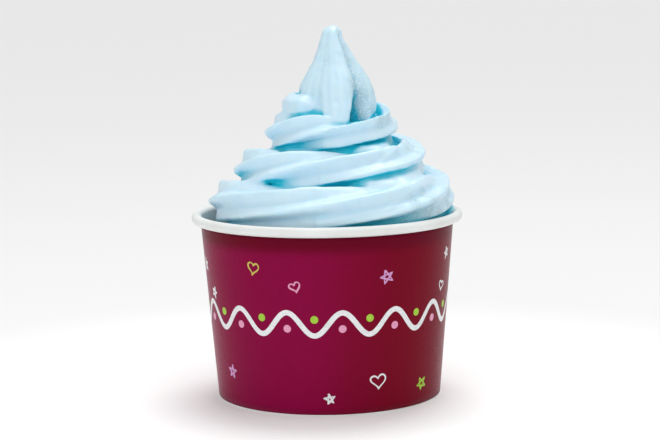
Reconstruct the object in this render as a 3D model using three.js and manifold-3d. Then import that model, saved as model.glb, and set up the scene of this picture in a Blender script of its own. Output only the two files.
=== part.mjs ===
// A paper cup heaped with a piped swirl of soft frozen yoghurt.
// Millimetres, +Z up, the origin in the middle of the cup's foot.

import * as THREE from 'three';
import { mergeVertices } from 'three/addons/utils/BufferGeometryUtils.js';
import Module from 'manifold-3d';

// Paper cup
const cupHeight = 76.5;
const footRadius = 46.2;
const shoulderRadius = 52.2; // outside of the wall, where it runs in under the rolled rim
const rimRadius = 56;
const rimHeight = 4.1;
const paper = 0.5;
const gap = 0.3; // between pieces that touch
const hemHeight = 7;
const discHeight = 8; // underside of the recessed bottom disc
const discPaper = 0.6;
const sides = 48; // flats round the cup

// Swirl
const axisX = 4.6; // the swirl stands to the right of the cup's middle
const axisY = 0.6;
const fillTop = 65; // level of the yoghurt that fills the cup below the coils
const coreFoot = 60; // between these levels the coils are filled inside
const coreTop = 111;
const coreTopRadius = 18.2;
const points = 6; // ridges of the star nozzle
const valleyShare = 0.7; // valley radius over ridge radius
const ridgeLean = 9; // degrees; opens the ridges above, and closes those below
const stepsPerTurn = 28;

// One station each half turn, from the right side of the cup: radius and height of
// the rope's centre, and the radius over its ridges.
const firstStation = -0.5; // in turns
const ropeStations = [
  { radius: 40.5, height: 62.5, ridge: 9 },
  { radius: 43, height: 69.5, ridge: 9 },
  { radius: 44.4, height: 80.4, ridge: 9.7 },
  { radius: 39.6, height: 83.2, ridge: 9.1 },
  { radius: 33.7, height: 93.7, ridge: 9.5 },
  { radius: 28.3, height: 97, ridge: 9 },
  { radius: 20.8, height: 108.4, ridge: 9.1 },
  { radius: 17.6, height: 112, ridge: 8.2 },
  { radius: 17.2, height: 119.8, ridge: 5.2 },
  { radius: 17.4, height: 119.2, ridge: 5.2 },
];
const ropeEnd = 3.61; // in turns; past it the rope closes in a round knob
const knobShares = [0.5, 0.85]; // rings of the knob's end, as shares of its length

// How far one ridge has wound round the rope, in degrees, one station each quarter turn.
const ridgeAngles = [
  -330, -260, -190, -125, -57, 25, 108, 175, 243, 347, 391, 435, 483, 559, 596, 640, 680, 715, 750,
];

// Beside the peak the upper side of the rope has sunk in: the turns between which it
// comes and goes, the angles past one ridge, and the share of the radius that is gone.
const sunkTurns = [2.67, 2.8, 3.03, 3.18];
const sunkAngles = [-14, 34, 150, 200];
const sunkDepth = 0.62;

// The peak that the nozzle drew up, as rings from its foot to its tip: height, radius
// over the lobes, valley radius as a share of it, and how far the ring's middle lies
// to the right of the swirl's axis and in front of it.
const peakRings = [
  { height: 107.5, ridge: 16, valley: 0.62, lean: 0, forward: 4.4 },
  { height: 111, ridge: 17.2, valley: 0.62, lean: 0.1, forward: 4.4 },
  { height: 115, ridge: 17.5, valley: 0.66, lean: 0.4, forward: 3.8 },
  { height: 119, ridge: 17.3, valley: 0.74, lean: 0.5, forward: 2.4 },
  { height: 123, ridge: 17, valley: 0.82, lean: 0.5, forward: 0.9 },
  { height: 127.5, ridge: 16, valley: 0.84, lean: 0.3, forward: 0.1 },
  { height: 132.5, ridge: 13.4, valley: 0.84, lean: 0.2, forward: 0 },
  { height: 138, ridge: 9.8, valley: 0.84, lean: -0.2, forward: 0 },
  { height: 143.5, ridge: 6.9, valley: 0.84, lean: -0.85, forward: 0 },
  { height: 148.2, ridge: 4.5, valley: 0.84, lean: -1.4, forward: 0 },
  { height: 151.3, ridge: 2.8, valley: 0.86, lean: -1.3, forward: 0 },
  { height: 152.9, ridge: 1.2, valley: 0.9, lean: -1.1, forward: 0 },
];
const peakRidgeStart = -92; // degrees, from the right
const peakTwist = 14; // degrees from foot to tip

// The space that the cup takes up reaches this far down and out.
const clearFoot = 45;
const clearRadius = 76;

const wasm = await Module();
wasm.setup();

// ---- Shapes -----------------------------------------------------------------

function degrees(angle) {
  return THREE.MathUtils.degToRad(angle);
}

// Revolves a closed outline of [radius, height] pairs, listed anticlockwise, about Z.
function revolve(outline, x = 0, y = 0) {
  const profile = outline.map(([radius, height]) => new THREE.Vector2(radius, height));
  const geometry = new THREE.LatheGeometry(profile, sides);
  geometry.rotateX(Math.PI / 2);
  geometry.translate(x, y, 0);
  return geometry;
}

// Points on an ellipse from one angle to another, both included, in degrees.
function arc(centre, halfWidth, halfHeight, from, to, steps) {
  const list = [];
  for (let i = 0; i <= steps; i += 1) {
    const angle = degrees(from + ((to - from) * i) / steps);
    list.push([centre[0] + halfWidth * Math.cos(angle), centre[1] + halfHeight * Math.sin(angle)]);
  }
  return list;
}

// Skins a row of rings, each a list of points round its own middle and anticlockwise as
// seen from the last ring, and caps both ends.
function loft(rings) {
  const count = rings[0].points.length;
  const positions = [];
  const indices = [];
  rings.forEach((ring) => ring.points.forEach((p) => positions.push(p.x, p.y, p.z)));
  for (let r = 0; r + 1 < rings.length; r += 1) {
    for (let i = 0; i < count; i += 1) {
      const a = r * count + i;
      const b = r * count + ((i + 1) % count);
      indices.push(a, b, b + count, a, b + count, a + count);
    }
  }
  const ends = [rings[0], rings[rings.length - 1]];
  ends.forEach((ring, end) => {
    const middle = positions.length / 3;
    const base = end * (rings.length - 1) * count;
    positions.push(ring.middle.x, ring.middle.y, ring.middle.z);
    for (let i = 0; i < count; i += 1) {
      const a = base + i;
      const b = base + ((i + 1) % count);
      indices.push(...(end === 0 ? [middle, b, a] : [middle, a, b]));
    }
  });
  const geometry = new THREE.BufferGeometry();
  geometry.setAttribute('position', new THREE.Float32BufferAttribute(positions, 3));
  geometry.setIndex(indices);
  return geometry;
}

// ---- Joins and cuts ---------------------------------------------------------

function toSolid(geometry) {
  const bare = geometry.clone();
  bare.deleteAttribute('normal');
  bare.deleteAttribute('uv');
  const merged = mergeVertices(bare, 1e-4);
  return new wasm.Manifold(
    new wasm.Mesh({
      numProp: 3,
      vertProperties: new Float32Array(merged.attributes.position.array),
      triVerts: new Uint32Array(merged.index.array),
    }),
  );
}

// The outer skin alone: the pockets shut in between the coils are left filled.
function outerSkin(solid) {
  const skins = solid.decompose();
  return skins.reduce((largest, skin) => (skin.volume() > largest.volume() ? skin : largest));
}

function toGeometry(solid) {
  const mesh = solid.getMesh();
  const geometry = new THREE.BufferGeometry();
  geometry.setAttribute('position', new THREE.Float32BufferAttribute(mesh.vertProperties, 3));
  geometry.setIndex(new THREE.Uint32BufferAttribute(mesh.triVerts, 1));
  return geometry;
}

// ---- Paper cup --------------------------------------------------------------

const rollMiddle = cupHeight - rimHeight / 2;
const wallSlope = (shoulderRadius - footRadius) / (cupHeight - rimHeight);

function wallOutside(height) {
  return footRadius + wallSlope * height;
}

function wallInside(height) {
  return wallOutside(height) - paper;
}

// The rim's roll: the wall runs up its inner side and curls outwards and down, until
// its end stands just off the wall again.
const rollHalfWidth = (rimRadius - wallInside(rollMiddle)) / 2;
const rollCentre = [rimRadius - rollHalfWidth, rollMiddle];
const rollEnd = -128; // degrees

function cupWall() {
  const slot = paper + 2 * gap; // room for the bottom disc's skirt
  const foldRadius = footRadius - paper - slot;
  const half = rimHeight / 2;
  return revolve([
    [foldRadius - paper, 0],
    [footRadius, 0],
    [wallOutside(rollMiddle), rollMiddle],
    ...arc(rollCentre, rollHalfWidth - paper, half - paper, 180, rollEnd, 12),
    ...arc(rollCentre, rollHalfWidth, half, rollEnd, 180, 14),
    [wallInside(paper), paper],
    [foldRadius, paper],
    [foldRadius + wallSlope * hemHeight, hemHeight],
    [foldRadius - paper + wallSlope * hemHeight, hemHeight],
    [foldRadius - paper, 0],
  ]);
}

// A flat disc with its edge turned down into the slot between the wall and its hem.
function cupBase() {
  const top = discHeight + discPaper;
  const skirtFoot = paper + gap;
  const edge = (height) => wallInside(height) - gap;
  return revolve([
    [0, discHeight],
    [edge(discHeight) - paper, discHeight],
    [edge(skirtFoot) - paper, skirtFoot],
    [edge(skirtFoot), skirtFoot],
    [edge(top), top],
    [0, top],
  ]);
}

// ---- Frozen yoghurt ---------------------------------------------------------

// A star's radius at its points and between them, as a share of the radius over its ridges.
function starShare(index, valley) {
  return index % 2 === 0 ? 1 : valley;
}

// Radius, height and ridge radius of the rope at a place given in turns.
const ropeCurve = new THREE.CatmullRomCurve3(
  ropeStations.map((s) => new THREE.Vector3(s.radius, s.height, s.ridge)),
  false,
  'catmullrom',
  0.5,
);
const ridgeCurve = new THREE.CatmullRomCurve3(
  ridgeAngles.map((angle) => new THREE.Vector3(angle, 0, 0)),
  false,
  'catmullrom',
  0.5,
);
const lastStation = firstStation + (ropeStations.length - 1) / 2;

// The share of the radius that has sunk in, at a place given in turns and at an angle
// past the ridge beside the peak.
function sunkShare(turn, past) {
  const [comes, whole, wanes, gone] = sunkTurns;
  const [from, full, until, end] = sunkAngles;
  const { smoothstep } = THREE.MathUtils;
  const along = smoothstep(turn, comes, whole) * (1 - smoothstep(turn, wanes, gone));
  const across = smoothstep(past, from, full) * (1 - smoothstep(past, until, end));
  return sunkDepth * along * across;
}

function ropeRing(turn, scale = 1) {
  const share = (turn - firstStation) / (lastStation - firstStation);
  const at = ropeCurve.getPoint(share);
  const outward = new THREE.Vector3(Math.cos(turn * 2 * Math.PI), Math.sin(turn * 2 * Math.PI), 0);
  const middle = new THREE.Vector3(axisX, axisY, at.y).addScaledVector(outward, at.x);
  const phase = ridgeCurve.getPoint(share).x;
  const ring = { middle, points: [] };
  for (let i = 0; i < 2 * points; i += 1) {
    const past = 180 - (180 * i) / points;
    const even = degrees(phase + past - 180);
    const angle = even + degrees(ridgeLean) * (1 - Math.cos(even));
    const reach = at.z * scale * starShare(i, valleyShare) * (1 - sunkShare(turn, past));
    const point = middle.clone().addScaledVector(outward, reach * Math.cos(angle));
    point.z += reach * Math.sin(angle);
    ring.points.push(point);
  }
  return ring;
}

// The rings of the whole rope, with the round knob at its end.
function ropeRings() {
  const steps = Math.round((ropeEnd - firstStation) * stepsPerTurn);
  const rings = [];
  for (let i = 0; i <= steps; i += 1) {
    rings.push(ropeRing(firstStation + ((ropeEnd - firstStation) * i) / steps));
  }
  const last = ropeStations[ropeStations.length - 1];
  const knobTurns = last.ridge / (2 * Math.PI * last.radius);
  knobShares.forEach((share) => {
    rings.push(ropeRing(ropeEnd + share * knobTurns, Math.sqrt(1 - share * share)));
  });
  return rings;
}

// The rope in pieces of a third of a turn, short enough that none meets itself.
function rope() {
  const rings = ropeRings();
  const perPiece = Math.round(stepsPerTurn / 3);
  let solid = null;
  for (let start = 0; start + 1 < rings.length; start += perPiece) {
    const piece = toSolid(loft(rings.slice(start, start + perPiece + 1)));
    solid = solid ? solid.add(piece) : piece;
  }
  return solid;
}

// Fills the cone inside the coils.
function core() {
  const coils = ropeStations.filter((s) => s.height < coreTop);
  const outline = [
    [0, coreFoot],
    [coils[0].radius, coreFoot],
    ...coils.map((s) => [s.radius, s.height]),
    [coreTopRadius, coreTop],
    [0, coreTop],
  ];
  return toSolid(revolve(outline, axisX, axisY));
}

function peak() {
  const rings = peakRings.map((station, n) => {
    const middle = new THREE.Vector3(axisX + station.lean, axisY - station.forward, station.height);
    const phase = peakRidgeStart + (peakTwist * n) / (peakRings.length - 1);
    const ring = { middle, points: [] };
    for (let i = 0; i < 2 * points; i += 1) {
      const angle = degrees(phase + (180 * i) / points);
      const reach = station.ridge * starShare(i, station.valley);
      const offset = new THREE.Vector3(Math.cos(angle), Math.sin(angle), 0);
      ring.points.push(middle.clone().addScaledVector(offset, reach));
    }
    return ring;
  });
  return toSolid(loft(rings));
}

// What fills the cup below the coils, clear of the wall and of the bottom disc.
function fill() {
  const bottom = discHeight + discPaper + gap;
  return toSolid(
    revolve([
      [0, bottom],
      [wallInside(bottom) - gap, bottom],
      [wallInside(fillTop) - gap, fillTop],
      [0, fillTop],
    ]),
  );
}

// The cup's wall and roll grown by the gap, which keeps the coils clear of them.
function wallClearance() {
  const half = rimHeight / 2 + gap;
  return toSolid(
    revolve([
      [wallInside(clearFoot) - gap, clearFoot],
      [clearRadius, clearFoot],
      [clearRadius, rollMiddle],
      ...arc(rollCentre, rollHalfWidth + gap, half, 0, 180, 10),
      [wallInside(clearFoot) - gap, clearFoot],
    ]),
  );
}

function swirl() {
  const coils = rope().add(core()).add(peak());
  const whole = coils.subtract(wallClearance()).add(fill());
  return toGeometry(outerSkin(whole));
}

// ---- Model ------------------------------------------------------------------

const finishes = {
  printedPaper: { color: 0x8a1250, roughness: 0.35, metalness: 0 },
  whitePaper: { color: 0xf2f4f3, roughness: 0.55, metalness: 0 },
  yoghurt: { color: 0xc4e4f6, roughness: 0.4, metalness: 0 },
};

function part(name, geometry, finish) {
  const mesh = new THREE.Mesh(geometry, new THREE.MeshStandardMaterial(finishes[finish]));
  mesh.name = name;
  return mesh;
}

const cup = new THREE.Group();
cup.add(part('cup_wall', cupWall(), 'printedPaper'));
cup.add(part('cup_base', cupBase(), 'whitePaper'));
cup.add(part('swirl', swirl(), 'yoghurt'));

export default cup;
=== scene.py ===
import math
import random
import bmesh
import bpy
import numpy as np
from mathutils import Matrix, Vector


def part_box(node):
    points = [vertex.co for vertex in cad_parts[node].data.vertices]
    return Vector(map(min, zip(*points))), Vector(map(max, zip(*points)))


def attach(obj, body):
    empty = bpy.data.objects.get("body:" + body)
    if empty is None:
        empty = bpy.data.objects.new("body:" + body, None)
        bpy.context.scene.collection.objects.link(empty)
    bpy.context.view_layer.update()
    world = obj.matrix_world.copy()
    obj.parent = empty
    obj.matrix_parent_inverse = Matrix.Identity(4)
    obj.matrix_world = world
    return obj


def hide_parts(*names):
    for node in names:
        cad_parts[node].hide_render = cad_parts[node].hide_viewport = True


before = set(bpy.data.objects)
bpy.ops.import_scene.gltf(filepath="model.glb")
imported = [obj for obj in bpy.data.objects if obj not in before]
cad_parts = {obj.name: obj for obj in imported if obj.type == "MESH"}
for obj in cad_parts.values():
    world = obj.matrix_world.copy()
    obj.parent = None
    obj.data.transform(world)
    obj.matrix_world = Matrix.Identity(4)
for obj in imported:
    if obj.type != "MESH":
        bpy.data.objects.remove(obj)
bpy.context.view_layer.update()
mm = 0.001
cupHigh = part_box("cup_wall")[1]
baseLow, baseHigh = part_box("cup_base")
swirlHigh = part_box("swirl")[1]
print("frame loaded:", sorted(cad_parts))


# small helpers for meshes

def newObject(name, data):
    made = bpy.data.objects.new(name, data)
    bpy.context.scene.collection.objects.link(made)
    return made


def newPiece(name, verts, faces, material, slotName, smooth=True):
    mesh = bpy.data.meshes.new(name)
    mesh.from_pydata([tuple(v) for v in verts], [], [tuple(f) for f in faces])
    mesh.materials.append(material)
    mesh.polygons.foreach_set("use_smooth", [smooth] * len(mesh.polygons))
    mesh.update()
    piece = newObject(name, mesh)
    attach(piece, "root")
    return piece


def revolve(outline, azimuths, shift=None, closed=True):
    # outline: closed list of (radius, height); shift(azimuth, radius, height) adds to the radius
    profile = np.array(outline)
    count = len(profile)
    verts = []
    for azimuth in azimuths:
        radii = profile[:, 0] + (shift(azimuth, profile[:, 0], profile[:, 1]) if shift else 0)
        ring = np.stack([radii * math.sin(azimuth), -radii * math.cos(azimuth), profile[:, 1]], 1)
        verts.append(ring)
    verts = np.concatenate(verts)
    faces = []
    steps = len(azimuths)
    for i in range(steps if closed else steps - 1):
        here, there = i * count, ((i + 1) % steps) * count
        for j in range(count):
            k = (j + 1) % count
            faces.append((here + j, there + j, there + k, here + k))
    if not closed:
        faces.append(tuple(range(count)))
        faces.append(tuple((steps - 1) * count + j for j in reversed(range(count))))
    return verts, faces


def joinMeshes(parts):
    verts, faces, offset = [], [], 0
    for points, polygons in parts:
        verts.append(points)
        faces += [tuple(i + offset for i in f) for f in polygons]
        offset += len(points)
    return np.concatenate(verts), faces


def arcPoints(centre, halfWidth, halfHeight, start, end, steps):
    angles = np.radians(np.linspace(start, end, steps + 1))
    return [(centre[0] + halfWidth * math.cos(a), centre[1] + halfHeight * math.sin(a))
            for a in angles]


def smoothStep(low, high, value):
    t = np.clip((value - low) / (high - low), 0, 1)
    return t * t * (3 - 2 * t)


def catmullRom(values, place):
    # a smooth curve through evenly spaced values; place counts from the first of them
    values = np.asarray(values, float)
    padded = np.concatenate([[2 * values[0] - values[1]], values, [2 * values[-1] - values[-2]]])
    index = np.clip(np.floor(place).astype(int), 0, len(values) - 2)
    t = place - index
    a, b, c, d = (padded[index + n] for n in range(4))
    return 0.5 * (2 * b + (c - a) * t + (2 * a - 5 * b + 4 * c - d) * t ** 2
                  + (3 * b - a - 3 * c + d) * t ** 3)


# helpers for materials

def newMaterial(name, **sockets):
    material = bpy.data.materials.new(name)
    material.use_nodes = True
    tree = material.node_tree
    shader = tree.nodes["Principled BSDF"]
    for socket, value in sockets.items():
        shader.inputs[socket.replace("_", " ")].default_value = value
    return material, tree, shader


def addNode(tree, kind, **settings):
    node = tree.nodes.new(kind)
    for key, value in settings.items():
        if key in node.inputs:
            node.inputs[key].default_value = value
        else:
            setattr(node, key, value)
    return node


def objectPoint(tree):
    return addNode(tree, "ShaderNodeTexCoord").outputs["Object"]


def noise(tree, point, scale, detail=2.0, roughness=0.5, stretch=None):
    if stretch is not None:
        mapping = addNode(tree, "ShaderNodeMapping")
        mapping.inputs["Scale"].default_value = stretch
        tree.links.new(point, mapping.inputs["Vector"])
        point = mapping.outputs["Vector"]
    node = addNode(tree, "ShaderNodeTexNoise")
    node.inputs["Scale"].default_value = scale
    node.inputs["Detail"].default_value = detail
    node.inputs["Roughness"].default_value = roughness
    tree.links.new(point, node.inputs["Vector"])
    return node.outputs["Fac"]


def ramp(tree, factor, stops, smooth=False):
    node = addNode(tree, "ShaderNodeValToRGB")
    if smooth:
        node.color_ramp.interpolation = "EASE"
    elements = node.color_ramp.elements
    while len(elements) < len(stops):
        elements.new(0.5)
    for element, (place, colour) in zip(elements, stops):
        element.position = place
        element.color = (*colour, 1) if len(colour) == 3 else colour
    tree.links.new(factor, node.inputs["Fac"])
    return node.outputs["Color"]


def grey(value):
    return (value, value, value)


def mixColour(tree, factor, first, second, blend="MIX"):
    node = addNode(tree, "ShaderNodeMix", data_type="RGBA", blend_type=blend)
    for index, value in ((0, factor), (6, first), (7, second)):
        if isinstance(value, (int, float)):
            node.inputs[index].default_value = value
        elif isinstance(value, tuple):
            node.inputs[index].default_value = (*value, 1)
        else:
            tree.links.new(value, node.inputs[index])
    return node.outputs[2]


def bump(tree, height, strength, distance, normal=None):
    node = addNode(tree, "ShaderNodeBump")
    node.inputs["Strength"].default_value = strength
    node.inputs["Distance"].default_value = distance
    tree.links.new(height, node.inputs["Height"])
    if normal is not None:
        tree.links.new(normal, node.inputs["Normal"])
    return node.outputs["Normal"]


def mathNode(tree, operation, first, second=None):
    node = addNode(tree, "ShaderNodeMath", operation=operation)
    for index, value in enumerate((first, second)):
        if value is None:
            continue
        if isinstance(value, (int, float)):
            node.inputs[index].default_value = value
        else:
            tree.links.new(value, node.inputs[index])
    return node.outputs[0]


def times(tree, first, second):
    return mathNode(tree, "MULTIPLY", first, second)


def plus(tree, first, second):
    return mathNode(tree, "ADD", first, second)


def connect(tree, shader, colour, rough=None, normal=None):
    for output, socket in ((colour, "Base Color"), (rough, "Roughness"), (normal, "Normal")):
        if output is not None:
            tree.links.new(output, shader.inputs[socket])


# camera: the photo's viewing angle

photoCamera = {
    "distance": 0.8,            # metres
    "lookAt": (0.00123, 0, 0.0723),
    "elevation": 7.55,
    "roll": -0.9,               # the object leans a little to the left in the picture
    "lens": 105.2,              # millimetres
}


def makeCamera(settings):
    data = bpy.data.cameras.new("camera")
    data.lens = settings["lens"]
    data.sensor_width = 36
    data.clip_start, data.clip_end = 0.02, 60
    camera = newObject("camera", data)
    rise, roll = math.radians(settings["elevation"]), math.radians(settings["roll"])
    back = Vector((0, -math.cos(rise), math.sin(rise)))
    across, up = Vector((1, 0, 0)), Vector((0, math.sin(rise), math.cos(rise)))
    right = across * math.cos(roll) + up * math.sin(roll)
    top = up * math.cos(roll) - across * math.sin(roll)
    camera.matrix_world = Matrix((
        (right.x, top.x, back.x, 0), (right.y, top.y, back.y, 0),
        (right.z, top.z, back.z, 0), (0, 0, 0, 1)))
    camera.location = Vector(settings["lookAt"]) + back * settings["distance"]
    bpy.context.scene.camera = camera


makeCamera(photoCamera)


# paper

paperFinish = {
    "white": (0.80, 0.83, 0.82),
    "warmer": (0.74, 0.76, 0.74),
    "fibres": 900,              # per metre
    "relief": 0.04 * mm,
}


def whitePaper(settings):
    material, tree, shader = newMaterial("white coated paper", Roughness=0.42)
    point = objectPoint(tree)
    cloud = noise(tree, point, 60, 3)
    fibre = noise(tree, point, settings["fibres"], 4, 0.6, (1, 1, 0.35))
    colour = ramp(tree, cloud, [(0.35, settings["warmer"]), (0.65, settings["white"])])
    rough = ramp(tree, fibre, [(0.3, grey(0.38)), (0.7, grey(0.52))])
    connect(tree, shader, colour, rough, bump(tree, fibre, 0.35, settings["relief"]))
    return material


printFinish = {
    "magenta": (0.235, 0.0010, 0.046),   # the print at the left and in the middle, more magenta there for a painted sheen of light
    "red": (0.180, 0.0008, 0.014),       # and towards the right
    "drift": 11.0,                       # how quickly one goes over into the other, per metre
    "shade": (0.135, 0.0003, 0.014),     # painted shadow of the rim: the band under the rim
    "shadeFrom": 63.5 * mm,              # from this height up
    "shadeRise": 180,                    # how quickly, per metre
    "varnish": 0.26,                     # roughness
    "mottle": 0.05,
    "grain": 0.03 * mm,
    "waviness": 0.25 * mm,
}


def printedPaper(settings):
    material, tree, shader = newMaterial(
        "burgundy print", Specular_IOR_Level=0.05, Sheen_Weight=0.06, Sheen_Roughness=0.3)
    point = objectPoint(tree)
    parts = addNode(tree, "ShaderNodeSeparateXYZ")
    tree.links.new(point, parts.inputs[0])
    # painted sheen of light: the print goes from magenta at the left over into red at the right,
    # with some random tone
    across = plus(tree, times(tree, parts.outputs["X"], settings["drift"]), 0.5)
    drift = plus(tree, across, times(tree, noise(tree, point, 14, 2), 0.25))
    colour = ramp(tree, drift, [(0.45, settings["magenta"]), (1.0, settings["red"])], True)
    # painted shadow of the rim: a darker band from shadeFrom up
    high = mathNode(tree, "SUBTRACT", parts.outputs["Z"], settings["shadeFrom"])
    high = ramp(tree, times(tree, high, settings["shadeRise"]),
                [(0.0, grey(0)), (1.0, grey(1))], True)
    colour = mixColour(tree, high, colour, settings["shade"])
    mottle = noise(tree, point, 260, 3, 0.6)
    shade = ramp(tree, mottle, [(0.3, grey(1 - settings["mottle"])), (0.7, grey(1.0))])
    colour = mixColour(tree, 1.0, colour, shade, "MULTIPLY")
    rough = ramp(tree, noise(tree, point, 700, 3), [
        (0.3, grey(settings["varnish"])), (0.7, grey(settings["varnish"] + 0.12))])
    wave = noise(tree, point, 45, 2)
    grain = noise(tree, point, 1400, 2)
    relief = bump(tree, grain, 0.25, settings["grain"])
    connect(tree, shader, colour, rough, bump(tree, wave, 0.5, settings["waviness"], relief))
    return material


def inkMaterial(name, colour):
    material, tree, shader = newMaterial(name, Specular_IOR_Level=0.2)
    point = objectPoint(tree)
    patch = noise(tree, point, 900, 3, 0.6)
    thin = tuple(c * 0.86 for c in colour)         # where the ink hasn't quite covered
    rough = ramp(tree, patch, [(0.3, grey(0.30)), (0.7, grey(0.42))])
    connect(tree, shader, ramp(tree, patch, [(0.35, thin), (0.6, colour)]), rough)
    return material


# cup

cup = {
    "height": cupHigh.z,
    "rimRadius": cupHigh.x,
    "footRadius": 46.2 * mm,
    "shoulderRadius": 52.2 * mm,     # outside of the wall, where it runs in under the roll
    "rimHeight": 4.1 * mm,
    "rollEnd": -131,                 # degrees, where the sheet ends inside the roll
    "paper": 0.5 * mm,
    "ink": 0.05 * mm,                # thickness of the printed face
    "printFoot": 0.55 * mm,          # bare cut edge below the print
    "printTop": 0.6 * mm,            # the print's end, below the middle of the roll
    "hemHeight": 7 * mm,
    "slot": 1.1 * mm,                # between the wall and the hem, for the bottom disc's edge
    "sides": 320,
    "seamAt": 157,                   # degrees round from the front, at the back
    "seamWidth": 7,                  # degrees
    "seamEnd": 11.2,                 # degrees, where the wall is even again
    "seamStep": 0.38 * mm,
    "seamPressed": 0.45,             # how much flatter the seam is on the rim
}
wallSlope = (cup["shoulderRadius"] - cup["footRadius"]) / (cup["height"] - cup["rimHeight"])
rollMiddle = cup["height"] - cup["rimHeight"] / 2


seamEdge = 0.06                      # degrees to either side of the cut edge


def wallOutside(height):
    return cup["footRadius"] + wallSlope * height


def wallInside(height):
    return wallOutside(height) - cup["paper"]


rollHalf = ((cup["rimRadius"] - wallInside(rollMiddle)) / 2, cup["rimHeight"] / 2)
rollCentre = (cup["rimRadius"] - rollHalf[0], rollMiddle)


def cupAzimuths():
    # even steps, and a few close ones at the seam's cut edge
    seam = cup["seamAt"]
    even = np.linspace(0, 360, cup["sides"], endpoint=False)
    even = even[(even < seam - 0.4) | (even > seam + 0.6)]
    edge = [seam - 0.3, seam - seamEdge, seam + seamEdge, seam + 0.35]
    return np.radians(np.sort(np.concatenate([even, edge])))


def seamShift(azimuth, radius, height):
    # the sheet's outer end laps over its inner end: a sharp step, then a slow fall
    past = math.degrees(azimuth) - cup["seamAt"]
    if past < 0 or past > cup["seamEnd"]:
        return np.zeros_like(radius)
    rise = 1 - smoothStep(cup["seamWidth"], cup["seamEnd"], past)
    outside = radius > wallInside(height) + cup["paper"] * 0.4
    flatter = cup["seamPressed"] * smoothStep(rollMiddle - cup["rimHeight"], cup["height"], height)
    return np.where(outside, cup["seamStep"] * rise * (1 - flatter), 0)


def makeCup(white, burgundy):
    paper, rollEnd = cup["paper"], cup["rollEnd"]
    foldRadius = cup["footRadius"] - paper - cup["slot"]
    edge = paper / 2
    heights = np.linspace(1.2 * mm, rollMiddle - 3 * mm, 12)
    outline = arcPoints((foldRadius - paper + edge, edge), edge, edge, 180, 270, 4)
    outline += arcPoints((cup["footRadius"] - edge, edge), edge, edge, 270, 360, 4)
    outline += [(wallOutside(h), h) for h in heights]
    outline += [(wallOutside(rollMiddle), rollMiddle)]
    outline += arcPoints(rollCentre, rollHalf[0] - paper, rollHalf[1] - paper, 175, rollEnd, 24)
    outline += arcPoints(rollCentre, *rollHalf, rollEnd, 180, 32)
    outline += [(wallInside(h), h) for h in heights[::-1]]
    outline += [(wallInside(paper), paper), (foldRadius, paper)]
    hemTop = cup["hemHeight"]
    hemRadius = foldRadius + wallSlope * hemTop
    outline += [(hemRadius, hemTop), (hemRadius - paper, hemTop)]
    wall = newPiece("paperCup", *revolve(outline, cupAzimuths(), seamShift), white, "white_paper")
    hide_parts("cup_wall")
    # the printed face, from just over the sheet's cut edge to where the roll hides it
    ink = cup["ink"]
    levels = np.linspace(cup["printFoot"], rollMiddle - cup["printTop"], 24)
    face = [(wallOutside(h) + ink, h) for h in levels]
    face += [(wallOutside(h) - ink, h) for h in levels[::-1]]
    azimuths = cupAzimuths()
    start = int(np.argmin(np.abs(azimuths - math.radians(cup["seamAt"] + seamEdge))))
    azimuths = np.concatenate([azimuths[start:], azimuths[:start]])
    azimuths = azimuths[:-1]         # leaves the white cut edge of the seam open
    newPiece("printedFace", *revolve(face, azimuths, seamShift, False), burgundy, "printed_paper")
    print("cup made")


bottom = {
    "paper": 0.6 * mm,
    "skirt": 0.5 * mm,               # thickness of the edge that is turned down
    "play": 0.15 * mm,               # between it and the wall
    "bend": 0.8 * mm,
    "bead": 0.35 * mm,               # height of the ring pressed into the disc
    "beadAt": 0.86,                  # its place, as a share of the disc's radius
    "beadWidth": 1.4 * mm,
    "sag": 0.2 * mm,
    "sides": 192,
}


def makeBase(white):
    skirt, bend = bottom["skirt"], bottom["bend"]
    top, foot = baseHigh.z, baseLow.z
    under = top - bottom["paper"]
    edge = lambda height: wallInside(height) - bottom["play"]
    radii = np.linspace(1.5 * mm, edge(under) - skirt - 1.2 * mm, 14)
    bead = lambda radius: bottom["bead"] * math.exp(
        -((radius - bottom["beadAt"] * radii[-1]) / bottom["beadWidth"]) ** 2)
    middle, sunk = 1e-6, top - bottom["sag"]
    outline = [(middle, under)] + [(r, under + bead(r)) for r in radii]
    outline += arcPoints((edge(under) - skirt - bend, under - bend), bend, bend, 90, 0, 5)
    outline += [(edge(foot) - skirt, foot), (edge(foot), foot)]
    outline += [(edge(top - bend), top - bend), (edge(top) - bend, top)]
    outline += [(r, sunk + bead(r) * 0.5) for r in radii[::-1]] + [(middle, sunk)]
    azimuths = np.radians(np.linspace(0, 360, bottom["sides"], endpoint=False))
    disc = newPiece("cupBottom", *revolve(outline, azimuths), white, "white_paper")
    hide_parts("cup_base")
    print("bottom made")


# frozen yoghurt

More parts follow.
